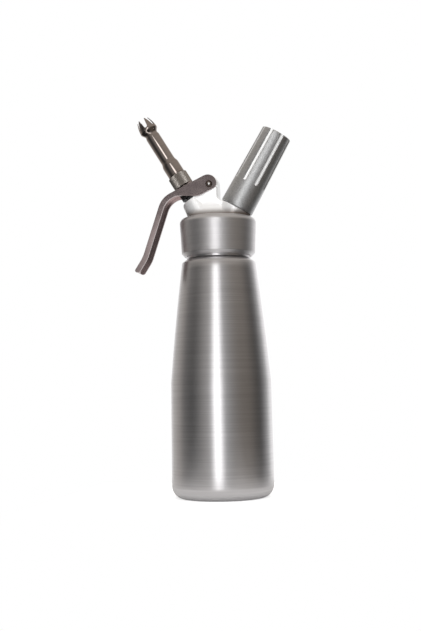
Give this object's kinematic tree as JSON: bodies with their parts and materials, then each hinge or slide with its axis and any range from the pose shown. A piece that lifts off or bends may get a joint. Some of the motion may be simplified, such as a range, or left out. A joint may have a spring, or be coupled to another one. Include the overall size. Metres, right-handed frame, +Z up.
{
  "type": "whipped cream dispenser",
  "caption": "Gas-charged whipped cream dispenser: aluminium bottle, screw-on head with press lever, decorating nozzle and charger holder.",
  "frame": {"origin": "middle of the flat face under the bottle, where it stands on a table", "axes": "+Z up along the bottle, +X towards the charger holder, -X towards the lever and the nozzle, +Y across the plane of symmetry"},
  "size_m": [0.1237, 0.0792, 0.3026],
  "materials": {
    "brushed_aluminium": "drawn aluminium with a fine satin grain",
    "cast_polished": "polished casting with a turned satin collar",
    "lever_steel": "polished pressed steel",
    "nozzle_steel": "polished steel with a knurled foot",
    "plain_steel": "plain turned steel",
    "spring_steel": "bright spring wire",
    "charger_steel": "bright zinc-coated steel",
    "blasted_aluminium": "bead-blasted satin aluminium",
    "black_rubber": "black seal rubber",
    "white_silicone": "white silicone",
    "black_plastic": "black moulded plastic",
    "natural_nylon": "natural white nylon",
    "brass": "turned brass"
  },
  "bodies": {
    "bottle": {"bottle": "brushed_aluminium"},
    "gasket": {"head_gasket": "white_silicone"},
    "head": {"head": "cast_polished", "lever_pin": "plain_steel", "stem_bush": "natural_nylon", "spring_washer": "plain_steel", "valve_spring": "spring_steel", "charger_seal": "black_rubber", "piercing_pin": "plain_steel", "check_valve": "black_rubber", "inlet_nut": "brass"},
    "lever": {"lever": "lever_steel"},
    "stem": {"valve_stem": "plain_steel", "press_collar": "black_plastic", "stem_oring": "black_rubber", "valve_seal": "black_rubber", "valve_nut": "brass"},
    "nozzle_ring": {"nozzle_gasket": "black_rubber"},
    "nozzle": {"nozzle": "nozzle_steel"},
    "charger": {"gas_charger": "charger_steel"},
    "holder": {"charger_holder": "blasted_aluminium"}
  },
  "joints": [
    {"name": "head_lift", "type": "slide", "parent": "bottle", "child": "gasket", "axis": [0, 0, 1], "range_m": [0, 0.01]},
    {"name": "head_turn", "type": "hinge", "parent": "gasket", "child": "head", "pos_m": [0, 0, 0.2012], "axis": [0, 0, 1], "range_deg": [0, 900]},
    {"name": "lever_press", "type": "hinge", "parent": "head", "child": "lever", "pos_m": [-0.005, 0, 0.2446], "axis": [0, -1, 0], "range_deg": [0, 7], "stiffness_Nm_per_rad": 1, "springref_deg": -5.73},
    {"name": "valve_stroke", "type": "slide", "parent": "head", "child": "stem", "axis": [0.515, 0, -0.8572], "range_m": [0, 0.0019], "deforming": ["valve_spring"]},
    {"name": "nozzle_lift", "type": "slide", "parent": "stem", "child": "nozzle_ring", "axis": [-0.515, 0, 0.8572], "range_m": [0, 0.006]},
    {"name": "nozzle_turn", "type": "hinge", "parent": "nozzle_ring", "child": "nozzle", "pos_m": [-0.02637, 0, 0.24509], "axis": [-0.515, 0, 0.8572], "range_deg": [0, 1080]},
    {"name": "charger_lift", "type": "slide", "parent": "head", "child": "charger", "axis": [0.5, 0, 0.866], "range_m": [0, 0.006]},
    {"name": "holder_turn", "type": "hinge", "parent": "charger", "child": "holder", "pos_m": [0.01535, 0, 0.22623], "axis": [0.5, 0, 0.866], "range_deg": [0, 1080]}
  ],
  "couplings": [
    {"joint": "head_turn", "follows": "head_lift", "rad_per_m": 1570.8},
    {"joint": "lever_press", "follows": "valve_stroke", "rad_per_m": 64.103},
    {"joint": "nozzle_turn", "follows": "nozzle_lift", "rad_per_m": 3141.6},
    {"joint": "holder_turn", "follows": "charger_lift", "rad_per_m": 3141.6}
  ]
}
